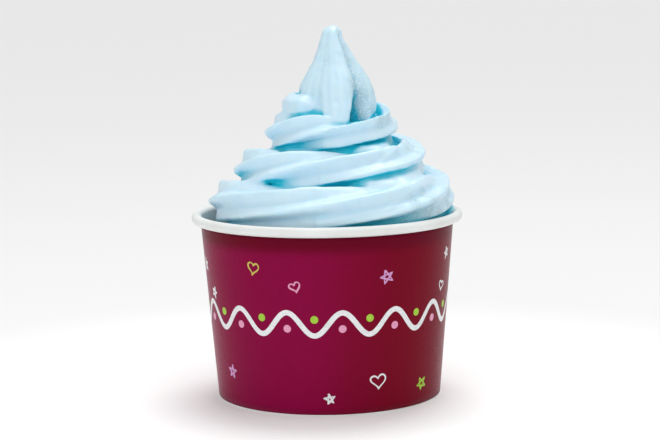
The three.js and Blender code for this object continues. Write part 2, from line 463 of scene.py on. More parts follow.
swirl = {
    # millimetres, degrees and turns from the right side; the rope of yoghurt winds
    # anticlockwise, seen from above
    "axis": (4.6, 0.6),              # the swirl stands to the right of the cup's middle
    "ridges": 6,                     # of the star nozzle
    "valley": 0.70,                  # valley radius over ridge radius
    "crest": 0.03,                   # roundness of the ridges
    "crestLeft": 0.07,               # more of it at the left
    # how far one ridge has wound round the rope, one station each quarter turn
    "ridgeAngle": [-330, -260, -190, -125, -57, 25, 108, 175, 243, 347, 391, 435,
                   483, 559, 596, 640, 680, 715, 750],
    "ridgeLean": 9,                  # opens the ridges above, and closes those below
    "firstTurn": -0.5,               # place of the first station
    # the rope's middle line and ridge radius, one station each half turn
    "radius": [40.5, 43, 44.4, 39.6, 33.2, 28.3, 20.8, 17.6, 17.2, 17.4],
    "height": [62.5, 69.5, 80.4, 83.2, 93.2, 97.0, 108.4, 112.0, 119.8, 119.2],
    "ridge": [9, 9, 9.7, 9.1, 9.5, 9.0, 9.1, 8.2, 5.2, 5.2],
    "lastTurn": 3.61,                # where the rope ends in a round knob
    "smoothTurns": (3.1, 3.5),       # the ridges die away towards the knob
    "smoothValley": 0.95,            # and the valleys become this shallow
    # beside the peak the top of the rope has sunk in: how far the ridge just outside of it
    # has wound on, where across the rope it begins and ends, and the turns where it comes and goes
    "sunkRidge": 540,
    "sunkFrom": (-20, 30),
    "sunkTo": (150, 200),
    "sunkComes": (2.67, 2.80),
    "sunkGoes": (2.99, 3.13),
    "sunk": 0.56,
    "seam": 0.9,                     # softness where two laps of the rope have run together
    "seamLeft": 3.4,                 # more of it at the left
    "seamLeftTo": 3.2,               # up to this turn
    "knobSeam": 1.8,                 # softness where the knob lies on the coil below
    "knobTurns": (3.25, 3.45),
    "fillTop": 65,
    "coreTop": 111,                  # the coils are filled inside up to here
    "coreLeft": 2.5,                 # and further out at the left, where the seams are shallow
    "gap": 0.06,                     # from the cup's wall
    "step": 0.55,                    # of the grid that the surface is taken from
    "cutAt": 60,                     # below this the yoghurt is a plain filling against the wall
    "headroom": 0.9,                 # of the grid, over the tip
    "softLumps": (17, 0.15),         # size and height
    "smallLumps": (5, 0.06),
}
pressed = {
    # at the front right each lap is pressed up against the next one in a flat face
    "wound": [(0, 360), (300, 600)],         # of the ridges at its foot and over its top
    "comes": (0.72, 0.80),
    "late": 0.08,                    # the foot of the face comes that much later than its top
    "goes": (0.95, 0.995),
    # towards its end the foot stands back from the ridge, by that much
    "standsBack": [(0.915, 0.945), (0.87, 0.91)],
    "back": [2.5, 4.6],
    "footReach": 0.92,               # places of foot and top, as shares of the ridge radius
    "headReach": 0.77,
    "headUnder": 20,                 # the top ends that far under its ridge
    "hidden": 7,                     # how deep the face lies where it isn't shown
    "thick": 12,
    "soft": (0.9, 2.1),              # at the top, and how much more at the foot
}
peak = {
    # rings from foot to tip: height, radius over the lobes, lean of the middle to the right
    # and to the front
    "height": [107.5, 111, 115, 119, 123, 127.5, 132.5, 138, 143.5, 147.8, 150.6, 152.0],
    "radius": [16, 17.2, 17.5, 17.3, 17.0, 16.0, 13.4, 9.8, 6.9, 5.1, 4.1, 2.6],
    "lean": [0, 0.1, 0.4, 0.5, 0.5, 0.3, 0.2, -0.2, -0.85, -1.4, -1.3, -1.1],
    "forward": [4.4, 4.4, 3.8, 2.4, 0.9, 0.1, 0, 0, 0, 0, 0, 0],
    # folds between the lobes: azimuth in degrees from the right, depth at the foot, the middle
    # and the tip as shares of the radius, width in degrees to the left and to the right, how steep
    # its sides are, and the share of the height where the foot's depth has run out
    "folds": [
        (-57, 0.60, 0, 0, 13, 18, 3.2, 0.48),
        (-61, 0.60, 0.26, 0.26, 9, 24, 1.6, 0.30),
        (-128, 0.50, 0.09, 0.10, 15, 15, 1.6, 0.30),
        (-2, 0.40, 0.10, 0.12, 22, 20, 1.6, 0.30),
        (60, 0.32, 0.13, 0.16, 12, 22, 1.6, 0.30),
        (118, 0.30, 0.10, 0.12, 18, 18, 1.6, 0.30),
        (178, 0.28, 0.10, 0.10, 18, 18, 1.6, 0.30),
    ],
    "runLength": 0.3,                # share of the height over which the foot's depth runs out
    "tipFolds": (0.45, 0.85),        # and where the tip's depth comes in
    "deepest": 0.85,
    "twist": 14,                     # degrees from foot to tip
    "joined": 4,                     # how softly the knob at the left runs into it
    "flutes": (26, 0.014),           # number of fine flutes, and depth as a share of the radius
    "shadeFrom": 0.3,                # folds deeper than this get painted shade, bluer
    "foldShade": 0.7,                # by this much at the foot
    "shadeLoss": 1.3,                # and by that much less
    "shadeTo": (0.18, 0.32),         # above these shares of the height
    "foldIceAndShade": 0.9,                  # how icy the folds are, which is partly painted shade along them
    "iceFull": 0.26,                 # where they are this deep
    "iceFrom": (0.2, 0.35),          # and above these shares of the height
}
axisX, axisY = swirl["axis"]


def leftShare(turn):
    # 1 at the left side of each lap, and nothing in its right half
    return np.maximum(-np.cos(2 * math.pi * turn), 0)


def ropeSection(turn, angle):
    # radius over the rope's own ridges and fine nozzle lines, as a share of the ridge radius
    phase = np.radians(catmullRom(swirl["ridgeAngle"], (turn - swirl["firstTurn"]) * 4))
    around = angle - math.radians(swirl["ridgeLean"]) * (1 - np.cos(angle)) - phase
    wave = 0.5 + 0.5 * np.cos(swirl["ridges"] * around)
    crest = swirl["crest"] + swirl["crestLeft"] * leftShare(turn)
    low = np.sqrt(crest)
    ridge = 1 - (np.sqrt(1 - wave + crest) - low) / (np.sqrt(1 + crest) - low)
    uneven = 1 + 0.05 * np.sin(7.3 * turn + 2 * angle) + 0.03 * np.sin(17.1 * turn - angle)
    valley = swirl["valley"]
    valley = valley + (swirl["smoothValley"] - valley) * smoothStep(*swirl["smoothTurns"], turn)
    lines = 0.004 * np.sin(23 * around) + 0.003 * np.sin(41 * around + 1.3)
    over = (np.degrees(around) + swirl["sunkRidge"]) % 360
    sunk = smoothStep(*swirl["sunkComes"], turn) * (1 - smoothStep(*swirl["sunkGoes"], turn))
    sunk = sunk * smoothStep(*swirl["sunkFrom"], (over + 90) % 360 - 90)
    sunk = sunk * (1 - smoothStep(*swirl["sunkTo"], over)) * swirl["sunk"]
    return (valley + (1 - valley) * ridge * uneven + lines) * (1 - sunk)


def blend(first, second, softness):
    # the lesser of the two, rounded where they are alike
    alike = np.maximum(softness - np.abs(first - second), 0) / softness
    return np.minimum(first, second) - alike ** 2 * softness / 4


def roundAxis(x, y):
    # distance from the swirl's middle line, and turns from the right side
    x, y = x - axisX, y - axisY
    return np.hypot(x, y), np.arctan2(y, x) / (2 * math.pi)


def addRope(field, xs, ys, zs):
    # each lap is worked out only near its own rope
    step, first, last = swirl["step"], swirl["firstTurn"], swirl["lastTurn"]
    away, azimuth = roundAxis(xs[:, None], ys[None, :])
    reach = int(13 / step)
    for lap in range(-1, math.ceil(last) + 1):
        turn = azimuth + lap
        held = np.clip(turn, first, last)
        past = np.abs(turn - held) * 2 * math.pi * away
        place = (held - first) * 2
        radius = catmullRom(swirl["radius"], place)
        radius = radius + 0.3 * np.sin(9.7 * held) + 0.15 * np.sin(31 * held)
        height = catmullRom(swirl["height"], place) + 0.2 * np.sin(13.1 * held + 1)
        ridge = catmullRom(swirl["ridge"], place)
        i, j = np.nonzero((np.abs(away - radius) < ridge + 3) & (past < 6))
        k = np.rint((height[i, j] - zs[0]) / step).astype(int)[:, None]
        k = k + np.arange(-reach, reach + 1)
        row, column = np.nonzero((k >= 0) & (k < len(zs)))
        i, j, k = i[row], j[row], k[row, column]
        out, up, held = (away - radius)[i, j], zs[k] - height[i, j], held[i, j]
        distance = np.hypot(np.hypot(out, up), past[i, j])
        distance = distance - ridge[i, j] * ropeSection(held, np.arctan2(up, out))
        knob = smoothStep(*swirl["knobTurns"], held)
        softness = swirl["seam"] + (swirl["knobSeam"] - swirl["seam"]) * knob
        softness = softness + swirl["seamLeft"] * leftShare(held) * (held < swirl["seamLeftTo"])
        field[i, j, k] = blend(field[i, j, k], distance, softness)


def ropeAt(turn, wound):
    # middle and size of the rope's section, and the angle of the ridge that has wound on so far
    place = (turn - swirl["firstTurn"]) * 2
    radius, height, ridge = (
        catmullRom(swirl[key], place) for key in ("radius", "height", "ridge"))
    angle = np.radians(catmullRom(swirl["ridgeAngle"], place * 2) - wound)
    angle = angle + math.radians(swirl["ridgeLean"]) * (1 - np.cos(angle))
    return radius, height, ridge, angle


def addPressed(field, xs, ys, zs):
    # a plate from the ridge of one lap to the underside of the next, sunk in where it isn't shown
    away, azimuth = roundAxis(xs[:, None], ys[None, :])
    turn = azimuth % 1
    i, j = np.nonzero((turn > pressed["comes"][0]) & (away < swirl["radius"][2] + 8))
    turn, away = turn[i, j], away[i, j][:, None]
    for lap, (lowWound, highWound) in enumerate(pressed["wound"]):
        radius, height, ridge, angle = ropeAt(turn + lap, lowWound)
        radius = radius - pressed["back"][lap] * smoothStep(*pressed["standsBack"][lap], turn)
        ridge = ridge * pressed["footReach"]
        foot = np.stack([radius + ridge * np.cos(angle), height + ridge * np.sin(angle)])
        radius, height, ridge, angle = ropeAt(turn + lap + 1, highWound)
        angle, ridge = angle - math.radians(pressed["headUnder"]), ridge * pressed["headReach"]
        head = np.stack([radius + ridge * np.cos(angle), height + ridge * np.sin(angle)])
        along = head - foot
        length = np.hypot(*along)
        along = (along / length)[:, :, None]
        out, up = away - foot[0][:, None], zs[None, :] - foot[1][:, None]
        run = out * along[0] + up * along[1]
        low = np.clip(1 - run / length[:, None], 0, 1)
        shown = smoothStep(*pressed["comes"], turn[:, None] - pressed["late"] * low)
        shown = shown * (1 - smoothStep(*pressed["goes"], turn))[:, None]
        face = out * along[1] - up * along[0] + pressed["hidden"] * (1 - shown)
        distance = np.maximum(face, np.maximum(-2 - run, run - length[:, None] - 1))
        distance = np.maximum(distance, -face - pressed["thick"])
        softness = pressed["soft"][0] + pressed["soft"][1] * low
        field[i, j, :] = blend(field[i, j, :], distance, softness)


def peakPlace(x, y, z):
    # share of the peak's height, its radius there, and angle and distance from its leaning middle
    share = np.linspace(0, len(peak["height"]) - 1, 400)
    levels, radii, lean, forward = (
        catmullRom(peak[key], share) for key in ("height", "radius", "lean", "forward"))
    rise = (z - levels[0]) / (levels[-1] - levels[0])
    radius = np.interp(z, levels, radii) - 3 * np.maximum(z - levels[-1], 0)
    x = x - axisX - np.interp(z, levels, lean)
    y = y - axisY + np.interp(z, levels, forward)
    return rise, radius, np.arctan2(y, x), np.hypot(x, y)


def foldDepth(rise, angle):
    # depth of the folds, as a share of the radius
    depths = np.zeros_like(angle)
    for azimuth, foot, middle, tip, toLeft, toRight, steep, runOut in peak["folds"]:
        aside = angle - math.radians(azimuth) - math.radians(peak["twist"]) * rise
        aside = (aside + math.pi) % (2 * math.pi) - math.pi
        depth = foot + (middle - foot) * smoothStep(runOut - peak["runLength"], runOut, rise)
        depth = depth + (tip - middle) * smoothStep(*peak["tipFolds"], rise)
        width = np.radians(np.where(aside < 0, toLeft, toRight))
        depths += depth * np.exp(-(np.abs(aside) / width) ** steep)
    return np.minimum(depths, peak["deepest"])


def addPeak(field, xs, ys, zs):
    first = int(np.searchsorted(zs, peak["height"][0]))
    z = zs[first:]
    i, j = np.nonzero(roundAxis(xs[:, None], ys[None, :])[0] < 26)
    rise, radius, angle, away = peakPlace(xs[i][:, None], ys[j][:, None], z[None, :])
    slope = np.gradient(radius[0], z)
    count, depth = peak["flutes"]
    flutes = depth * np.sin(count * angle + 5 * rise) * smoothStep(0.05, 0.3, rise)
    distance = (away - radius * (1 - foldDepth(rise, angle) + flutes)) / np.sqrt(1 + slope ** 2)
    knob = smoothStep(4, 11, -away * np.cos(angle)) * (1 - smoothStep(118, 126, z))
    softness = swirl["seam"] + peak["joined"] * knob
    field[i, j, first:] = blend(field[i, j, first:], distance, softness)


def addFilling(field, xs, ys, zs):
    # the inside of the coils, and the level top of what is in the cup
    away = roundAxis(xs[:, None], ys[None, :])[0]
    away = away - swirl["coreLeft"] * np.clip((axisX - xs[:, None]) / np.maximum(away, 10), 0, 1)
    core = np.interp(zs, swirl["height"][1:-1], swirl["radius"][1:-1])
    core = np.where(zs > swirl["coreTop"], -5, core)
    np.minimum(field, (away[:, :, None] - core) * 0.8, out=field)
    np.minimum(field, zs - swirl["fillTop"], out=field)


def clearOfCup(field, xs, ys, zs):
    # stays inside the wall, and clear of the rolled rim
    low = zs < cup["height"] / mm + 3
    z = zs[low]
    away = np.hypot(xs[:, None], ys[None, :])[:, :, None]
    wall = away - (wallInside(z * mm) / mm - swirl["gap"])
    middle, half = np.array(rollCentre) / mm, np.array(rollHalf) / mm
    roll = 1 - np.hypot((away - middle[0]) / half[0], (z - middle[1]) / half[1])
    roll = roll * half[1] + swirl["gap"]
    outside = np.minimum(away - middle[0], middle[1] + half[1] + swirl["gap"] - z)
    roll = np.maximum(roll, outside)
    field[:, :, low] = np.maximum(field[:, :, low], np.where(z < middle[1], wall, roll))


cellCorners = [(a, b, c) for a in (0, 1) for b in (0, 1) for c in (0, 1)]


def surfaceFrom(field, origin, step):
    # one point in each grid cell that the surface passes through, one face across each grid edge
    inside = field < 0
    nx, ny, nz = (n - 1 for n in field.shape)
    part = lambda values, a, b, c: values[a:a + nx, b:b + ny, c:c + nz]
    count = sum(part(inside, *corner).astype(np.int8) for corner in cellCorners)
    cells = np.nonzero((count > 0) & (count < 8))
    number = np.full((nx, ny, nz), -1, dtype=np.int64)
    number[cells] = np.arange(len(cells[0]))
    total, crossings = np.zeros((len(cells[0]), 3)), np.zeros(len(cells[0]))
    for one in cellCorners:
        for axis in range(3):
            if one[axis] == 1:
                continue
            other = tuple(one[n] + (n == axis) for n in range(3))
            a = field[tuple(cells[n] + one[n] for n in range(3))]
            b = field[tuple(cells[n] + other[n] for n in range(3))]
            crossed = (a < 0) != (b < 0)
            share = np.where(crossed, a / np.where(crossed, a - b, 1), 0)
            point = np.array(one, float) + share[:, None] * np.eye(3)[axis]
            total += point * crossed[:, None]
            crossings += crossed
    verts = (np.stack(cells, 1) + total / crossings[:, None]) * step + origin
    faces = []
    for axis in range(3):
        shape = [slice(1, -1)] * 3
        shape[axis] = slice(0, -1)
        ahead = [slice(1, -1)] * 3
        ahead[axis] = slice(1, None)
        here, there = inside[tuple(shape)], inside[tuple(ahead)]
        offset = np.array([1, 1, 1])
        offset[axis] = 0
        u, v = [n for n in range(3) if n != axis]
        for leaving in (True, False):
            at = np.stack(np.nonzero((here != there) & (here == leaving)), 1) + offset
            around = []
            for du, dv in ((1, 1), (0, 1), (0, 0), (1, 0)):
                cell = at.copy()
                cell[:, u] -= du
                cell[:, v] -= dv
                around.append(number[cell[:, 0], cell[:, 1], cell[:, 2]])
            quads = np.stack(around, 1)
            forward = leaving == (axis != 1)
            faces.append(quads if forward else quads[:, ::-1])
    return verts, np.concatenate(faces)


def fullness(field, verts, origin, step, size):
    # how much of the space round each point is yoghurt: a half on a level place, more in a groove
    solid = np.clip(0.5 - field / step, 0, 1)
    margin = int(3 * size / step)
    solid = np.pad(solid, ((0, margin), (0, margin), (0, margin)))
    waves = [np.fft.fftfreq(n, step) for n in solid.shape[:2]]
    waves.append(np.fft.rfftfreq(solid.shape[2], step))
    spread = [np.exp(-2 * (math.pi * size * w) ** 2) for w in waves]
    cloud = np.fft.rfftn(solid)
    cloud *= spread[0][:, None, None] * spread[1][None, :, None] * spread[2]
    cloud = np.fft.irfftn(cloud, s=solid.shape)
    place = np.clip((verts - origin) / step, 0, np.array(field.shape) - 1.001)
    whole = np.floor(place).astype(int)
    part = place - whole
    value = np.zeros(len(verts))
    for corner in cellCorners:
        weight = np.abs(1 - np.array(corner) - part).prod(1)
        value += weight * cloud[tuple((whole + corner).T)]
    return value


def keepOuterShell(work):
    # of the closed shells, only the largest is the outside
    left = set(work.verts)
    shells = []
    while left:
        stack = [left.pop()]
        shell = [stack[0]]
        while stack:
            for e in stack.pop().link_edges:
                for v in e.verts:
                    if v in left:
                        left.remove(v)
                        stack.append(v)
                        shell.append(v)
        shells.append(shell)
    shells.sort(key=len)
    for shell in shells[:-1]:
        bmesh.ops.delete(work, geom=shell, context="VERTS")


def extendDown(work):
    # carries the open lower edge down to the bottom disc, and closes it there
    top, floor = swirl["cutAt"] * mm, baseHigh.z + 0.1 * mm
    rim = [e for e in work.edges if e.is_boundary]
    for height in np.linspace(top, floor, 9):
        made = bmesh.ops.extrude_edge_only(work, edges=rim)["geom"]
        for v in [g for g in made if isinstance(g, bmesh.types.BMVert)]:
            wall = wallInside(height) - swirl["gap"] * mm
            flat = Vector((v.co.x, v.co.y, 0)).normalized() * wall
            v.co = Vector((flat.x, flat.y, height))
        rim = [g for g in made if isinstance(g, bmesh.types.BMEdge)]
    bmesh.ops.edgeloop_fill(work, edges=rim)
    bmesh.ops.recalc_face_normals(work, faces=work.faces[:])


def meshArrays(mesh):
    co = np.empty(len(mesh.vertices) * 3)
    mesh.vertices.foreach_get("co", co)
    edges = np.empty(len(mesh.edges) * 2, dtype=np.int32)
    mesh.edges.foreach_get("vertices", edges)
    return co.reshape(-1, 3), edges.reshape(-1, 2)


def relax(co, edges, rounds, strength=0.5):
    # moves each point part of the way to the mean of its neighbours
    degree = np.maximum(np.bincount(edges.ravel(), minlength=len(co)), 1)[:, None]
    for _ in range(rounds):
        total = np.stack([np.bincount(edges[:, 0], co[edges[:, 1], n], len(co))
                          + np.bincount(edges[:, 1], co[edges[:, 0], n], len(co))
                          for n in range(3)], 1)
        co = co + (total / degree - co) * strength
    return co


def vertexNormals(mesh):
    normals = np.empty(len(mesh.vertices) * 3)
    mesh.vertices.foreach_get("normal", normals)
    return normals.reshape(-1, 3)


def setPoints(mesh, co):
    mesh.vertices.foreach_set("co", co.ravel())
    mesh.update()


def lumps(co, size, seed):
    # soft lumps of about that size: a few random waves added up
    random.seed(seed)
    total = np.zeros(len(co))
    for _ in range(14):
        direction = np.array([random.gauss(0, 1) for _ in range(3)])
        direction *= 2 * math.pi / size * random.uniform(0.6, 1.3) / np.linalg.norm(direction)
        total += np.sin(co @ direction + random.uniform(0, 2 * math.pi))
    return total / math.sqrt(7)


frost = {
    # places where the surface has gone icy: azimuth in degrees from the right, height, and reach
    "spots": [(-42, 119, 11), (-10, 124, 6), (-58, 128, 7), (-16, 106, 10),
              (-46, 80, 12), (-16, 82, 12), (-36, 78, 9), (-54, 77, 6)],
    "patches": 7,                    # size
    "grain": 0.05,
}


def frostAmount(co):
    amount = np.zeros(len(co))
    away, turn = roundAxis(co[:, 0], co[:, 1])
    for spot, height, reach in frost["spots"]:
        around = ((turn - spot / 360 + 0.5) % 1 - 0.5) * 2 * math.pi
        distance = np.hypot(around * away, co[:, 2] - height) / reach
        amount = np.maximum(amount, 1 - smoothStep(0.35, 1.0, distance))
    return amount * np.clip(0.55 + 0.6 * lumps(co, frost["patches"], 5), 0, 1)


def smoothedMesh(verts, faces):
    # the outer shell in metres, carried down to the bottom disc; also says which points are free
    mesh = bpy.data.meshes.new("frozenYoghurt")
    mesh.from_pydata(verts * mm, [], faces.tolist())
    work = bmesh.new()
    work.from_mesh(mesh)
    keepOuterShell(work)
    extendDown(work)
    work.to_mesh(mesh)
    work.free()
    co, edges = meshArrays(mesh)
    above = co[:, 2] > (swirl["cutAt"] + 1) * mm
    co = np.where(above[:, None], relax(co, edges, 2), co)
    setPoints(mesh, co)
    return mesh, co, above


def colourLayers(field, xs, zs, places, outward, icy):
    # how deep each point lies, near to and further off, which places the painted shade of grooves
    # and seams, and how icy it is
    step = swirl["step"]
    origin = np.array([xs[0], xs[0], zs[0]])
    away = np.hypot(xs[:, None], xs[None, :])[:, :, None]
    # the rim counts as solid here, so painted shade also falls on the yoghurt under the rim
    rim = np.maximum(rollCentre[0] / mm - 2 - away, zs - cup["height"] / mm + 1.2)
    grooveShade = fullness(field, places + 0.7 * outward, origin, step, 1.2)
    hollowShade = fullness(np.minimum(field, rim), places + 2.2 * outward, origin, step, 2.6)
    rise, radius, angle, away = peakPlace(*places.T)
    # painted shade in the peak's folds: deeper teal near the foot, and icy grey higher up that is
    # partly painted shade
    folded = np.where((rise > 0.15) & (away < radius), foldDepth(rise, angle), 0)
    shade = peak["foldShade"] - peak["shadeLoss"] * smoothStep(*peak["shadeTo"], rise)
    hollowShade = hollowShade + shade * np.maximum(folded - peak["shadeFrom"], 0)
    ice = np.clip(folded / peak["iceFull"], 0, 1) * smoothStep(*peak["iceFrom"], rise)
    return {"grooveShade": grooveShade, "hollowShade": hollowShade, "frost": np.maximum(icy, peak["foldIceAndShade"] * ice)}


def makeSwirl(material):
    step = swirl["step"]
    side = math.ceil(cup["rimRadius"] / mm / step) * step
    xs = np.arange(-side, side + step, step)
    zs = np.arange(swirl["cutAt"], swirlHigh.z / mm + swirl["headroom"] + 2 * step, step)
    field = np.full((len(xs), len(xs), len(zs)), 5.0)
    for add in (addRope, addPressed, addPeak, addFilling, clearOfCup):
        add(field, xs, xs, zs)
    print("swirl shaped")
    mesh, co, above = smoothedMesh(*surfaceFrom(field, np.array([xs[0], xs[0], zs[0]]), step))
    places = co / mm
    soft = above & (np.hypot(places[:, 0], places[:, 1]) < wallInside(co[:, 2]) / mm - 1)
    icy = frostAmount(places)
    swell = frost["grain"] * icy * np.array([random.uniform(-1, 1) for _ in places])
    for seed, (size, height) in enumerate((swirl["softLumps"], swirl["smallLumps"]), 1):
        swell = swell + height * lumps(places, size, seed)
    setPoints(mesh, co + vertexNormals(mesh) * (swell * soft * mm)[:, None])
    layers = colourLayers(field, xs, zs, places, vertexNormals(mesh), icy)
    layers["grooveShade"][~above] = layers["hollowShade"][~above] = 0.5
    for name, values in layers.items():
        layer = mesh.attributes.new(name, "FLOAT", "POINT")
        layer.data.foreach_set("value", values.astype(np.float32))
    mesh.materials.append(material)
    mesh.polygons.foreach_set("use_smooth", [True] * len(mesh.polygons))
    piece = newObject("frozenYoghurt", mesh)
    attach(piece, "root")
    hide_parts("swirl")
    print("swirl made:", len(mesh.vertices), "points")


yoghurtFinish = {
    "lit": (0.58, 0.785, 0.91),      # two slightly different tints, in clouds
    "pale": (0.64, 0.825, 0.93),
    "grooveShade": (0.33, 0.68, 0.86),    # painted shade in the valleys between the ridges
    "grooveShadeRange": (0.30, 0.56),     # of how full of yoghurt the space around is
    "seamShade": (0.012, 0.56, 0.71),     # painted shade in the seams between the laps, a saturated teal
    "seamShadeRange": (0.285, 0.44),
    "icy": (0.38, 0.61, 0.70),
    "icyShare": 0.6,
    "speck": (0.86, 0.94, 0.97),     # ice crystals
    "speckShare": 0.6,
    "roughness": 0.36,
    "icyRoughness": 0.22,            # more of it where it is icy
    "scatter": 3.5 * mm,
    "fine": 0.12 * mm,               # relief
    "crystals": 0.5 * mm,
}


def yoghurt(settings):
    material, tree, shader = newMaterial(
        "frozen yoghurt", Subsurface_Weight=0.35, Subsurface_Radius=(0.35, 0.75, 1.0),
        Subsurface_Scale=settings["scatter"], Specular_IOR_Level=0.45, Coat_Weight=0.12,
        Coat_Roughness=0.25)
    point = objectPoint(tree)
    grooveShade = addNode(tree, "ShaderNodeAttribute", attribute_name="grooveShade").outputs["Fac"]
    hollowShade = addNode(tree, "ShaderNodeAttribute", attribute_name="hollowShade").outputs["Fac"]
    icy = addNode(tree, "ShaderNodeAttribute", attribute_name="frost").outputs["Fac"]
    between = lambda value, low, high: ramp(tree, value, [(low, grey(0)), (high, grey(1))])
    cloud = ramp(tree, noise(tree, point, 70, 3), [
        (0.35, settings["lit"]), (0.7, settings["pale"])])
    # painted shade: the valleys take a darker, bluer colour
    toGrooveShade = between(grooveShade, *settings["grooveShadeRange"])
    colour = mixColour(tree, toGrooveShade, cloud, settings["grooveShade"])
    # icy colour: real ice, and along the peak's folds painted shade as well
    colour = mixColour(tree, times(tree, icy, settings["icyShare"]), colour, settings["icy"])
    # painted shade: the seams between the laps take a saturated teal
    toSeamShade = between(hollowShade, *settings["seamShadeRange"])
    colour = mixColour(tree, toSeamShade, colour, settings["seamShade"])
    speck = between(noise(tree, point, 1300, 2), 0.50, 0.60)
    fewer = mathNode(tree, "SUBTRACT", 1.0, times(tree, toSeamShade, 0.6))      # down in the folds
    speck = times(tree, times(tree, speck, icy), settings["speckShare"])
    colour = mixColour(tree, times(tree, speck, fewer), colour, settings["speck"])
    rough = plus(tree, times(tree, icy, settings["icyRoughness"]), settings["roughness"])
    fine = noise(tree, point, 520, 4, 0.55)
    crystals = times(tree, noise(tree, point, 1700, 3, 0.7), icy)
    relief = bump(tree, fine, 0.25, settings["fine"])
    connect(tree, shader, colour, rough, bump(tree, crystals, 0.9, settings["crystals"], relief))
    return material


# little figures printed on the cup

inks = {
    "white": (0.83, 0.84, 0.86),
    "pink": (0.80, 0.34, 0.52),
    "lilac": (0.66, 0.33, 0.62),
    "lime": (0.38, 0.62, 0.05),
    "yellow": (0.60, 0.52, 0.10),
}
figures = {
    "lift": 0.07 * mm,               # over the printed face
    "sunk": -0.03 * mm,              # and down into it
    "stroke": 0.62,                  # mm
    "unevenStroke": 0.18,
    "unsteady": 0.035,               # how far the pen strays, as a share of the figure
    # shape, azimuth from the front in degrees, height and width in mm, tilt in degrees, ink
    "front": [
        ("heart", -35.2, 58.8, 5.4, -12, "yellow"),
        ("heart", -14.8, 52.2, 4.4, 18, "pink"),
        ("star", 27.3, 55.4, 5.6, 20, "lilac"),
        ("star", 0.1, 7.1, 4.4, 12, "white"),
        ("star", -55.3, 14.8, 5.6, -8, "lilac"),
        ("heart", 24.1, 12.9, 6.2, 3, "white"),
        ("star", 52.0, 9.1, 5.4, 30, "lime"),
        ("star", -76.4, 56.5, 5.6, 10, "white"),
        ("star", -66.8, 46.1, 4.8, -20, "white"),
        ("star", 70.2, 60.7, 4.8, 15, "white"),
        ("heart", 66.0, 47.5, 4.2, -8, "white"),
    ],
    # the back: how many, from which azimuth and over how many degrees, heights of the upper and
    # the lower row, widths and tilts
    "backCount": 17,
    "backFrom": 92,
    "backSpan": 176,
    "upperRow": (50, 64),
    "lowerRow": (7, 22),
    "widths": (4.4, 6.2),
    "tilts": (-25, 25),
    "hearts": 0.45,                  # share of them
    "inks": ["white", "pink", "lilac", "lime", "white", "yellow"],
    "seed": 4,
}
garland = {
    # a plain wavy ribbon with dots, right round the cup
    "height": 37.5,                  # mm
    "swing": 4.6,
    "waves": 14,
    "stroke": 2.1,
    "dot": 1.55,                     # radius
    "dotPlace": 0.42,                # from the middle line, as a share of the swing
    "steps": 720,
}


def heartPath():
    t = np.linspace(0, 2 * math.pi, 60)
    x = 16 * np.sin(t) ** 3
    y = 13 * np.cos(t) - 5 * np.cos(2 * t) - 2 * np.cos(3 * t) - np.cos(4 * t)
    return np.stack([x, y + 2.5], 1) / 32, True


def starPath():
    # one pen line through the five points
    corners = [math.radians(90 + 144 * i) for i in range(6)]
    points = np.array([(math.cos(a), math.sin(a)) for a in corners]) * 0.52
    path = [points[i] + (points[i + 1] - points[i]) * s
            for i in range(5) for s in np.linspace(0, 1, 9)[:-1]]
    return np.array(path + [points[5]]), False


def onPrint(azimuth, height, lift):
    # the point that far over the printed face; height in millimetres
    height = height * mm
    radius = wallOutside(height) + cup["ink"]
    radius += lift + seamShift(azimuth % (2 * math.pi), np.array([radius]), np.array([height]))[0]
    return (radius * math.sin(azimuth), -radius * math.cos(azimuth), height)


def onWall(azimuth, across, height, lift):
    # across: millimetres sideways from that azimuth
    return onPrint(azimuth + across * mm / (wallOutside(height * mm) + cup["ink"]), height, lift)


def ribbon(path, width, closed):
    # the two edges of a stroke along a flat path, with rounded ends
    ahead = np.roll(path, -1, 0) - path
    behind = path - np.roll(path, 1, 0)
    if not closed:
        ahead[-1], behind[0] = behind[-1], ahead[0]
    along = ahead / np.maximum(np.linalg.norm(ahead, axis=1, keepdims=True), 1e-9)
    along += behind / np.maximum(np.linalg.norm(behind, axis=1, keepdims=True), 1e-9)
    along /= np.maximum(np.linalg.norm(along, axis=1, keepdims=True), 1e-9)
    side = np.stack([-along[:, 1], along[:, 0]], 1) * width[:, None] / 2
    return path + side, path - side


def strokeSection(left, right):
    # the four corners of a stroke's section
    lift, sunk = figures["lift"], figures["sunk"]
    return ((left, lift), (right, lift), (right, sunk), (left, sunk))


def strokeFaces(count, closed):
    faces = []
    for i in range(count if closed else count - 1):
        here, there = i * 4, ((i + 1) % count) * 4
        for j in range(4):
            k = (j + 1) % 4
            faces.append((here + j, here + k, there + k, there + j))
    if not closed:
        faces.append((0, 3, 2, 1))
        faces.append(tuple((count - 1) * 4 + j for j in range(4)))
    return faces


def strokeMesh(path, width, closed, centre):
    verts = []
    for left, right in zip(*ribbon(path, width, closed)):
        for point, rise in strokeSection(left, right):
            verts.append(onWall(centre[0], point[0], centre[1] + point[1], rise))
    return np.array(verts), strokeFaces(len(path), closed)


def discMesh(centre, radius):
    around = 28
    ring = [(math.cos(a) * radius, math.sin(a) * radius)
            for a in np.linspace(0, 2 * math.pi, around, endpoint=False)]
    verts = [onWall(centre[0], x, centre[1] + y, lift)
             for lift in (figures["lift"], figures["sunk"]) for x, y in ring]
    faces = [tuple(range(around)), tuple(reversed(range(around, 2 * around)))]
    faces += [(i, i + around, (i + 1) % around + around, (i + 1) % around) for i in range(around)]
    return np.array(verts), faces


